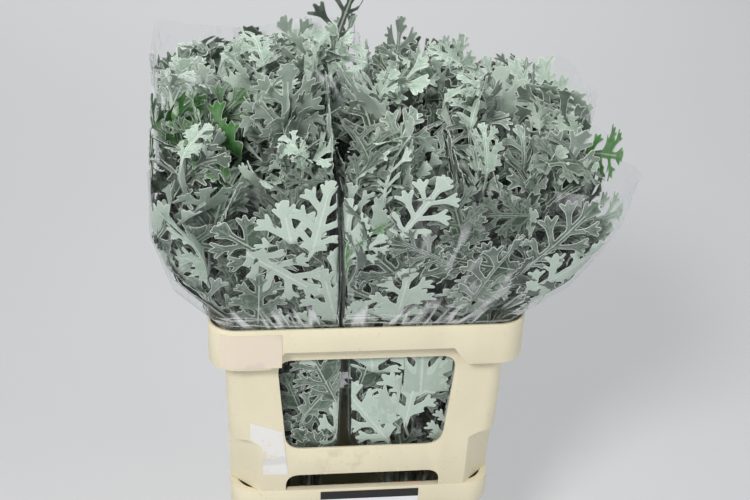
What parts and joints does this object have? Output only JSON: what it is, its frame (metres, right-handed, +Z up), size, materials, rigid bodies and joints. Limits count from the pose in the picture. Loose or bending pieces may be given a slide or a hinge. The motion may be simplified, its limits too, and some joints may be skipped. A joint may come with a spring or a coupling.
{
  "type": "bucket of dusty miller",
  "caption": "Bunches of silvery lobed dusty miller in clear film sleeves, standing in water in a cream stackable bucket with a windowed riser.",
  "frame": {"origin": "middle of the bucket's flat underside", "axes": "+Z up, the long side with the labels towards -Y, +X to the right seen from the front"},
  "size_m": [0.5694, 0.3969, 0.8566],
  "materials": {
    "container_plastic": "cream moulded polypropylene, satin, scuffed and water-stained",
    "leaf": "grey-green blade under white felt, paler at the veins and margins",
    "film": "clear glossy film, creased",
    "water": "still water",
    "rubber_band": "matt red rubber",
    "label_paper": "white paper, blank, torn and rubbed",
    "label_pink": "pale pinkish label paper, blank, worn",
    "card": "white card with a plain black head band"
  },
  "bodies": {
    "root": {"bucket": "container_plastic", "riser": "container_plastic", "water": "water", "label_rim": "label_pink", "label_post": "label_paper", "label_side": "label_paper", "card_bucket": "card", "sleeve_front_left": "film", "tie_front_left": "rubber_band", "stem_front_left_1": "leaf", "stem_front_left_2": "leaf", "stem_front_left_3": "leaf", "stem_front_left_4": "leaf", "sleeve_front_right": "film", "tie_front_right": "rubber_band", "stem_front_right_1": "leaf", "stem_front_right_2": "leaf", "stem_front_right_3": "leaf", "stem_front_right_4": "leaf", "stem_front_right_5": "leaf", "stem_front_right_6": "leaf", "sleeve_back_left": "film", "tie_back_left": "rubber_band", "stem_back_left_1": "leaf", "stem_back_left_2": "leaf", "stem_back_left_3": "leaf", "stem_back_left_4": "leaf", "stem_back_left_5": "leaf", "sleeve_back_right": "film", "tie_back_right": "rubber_band", "stem_back_right_1": "leaf", "stem_back_right_2": "leaf", "stem_back_right_3": "leaf", "stem_back_right_4": "leaf", "stem_back_right_5": "leaf"}
  },
  "joints": []
}
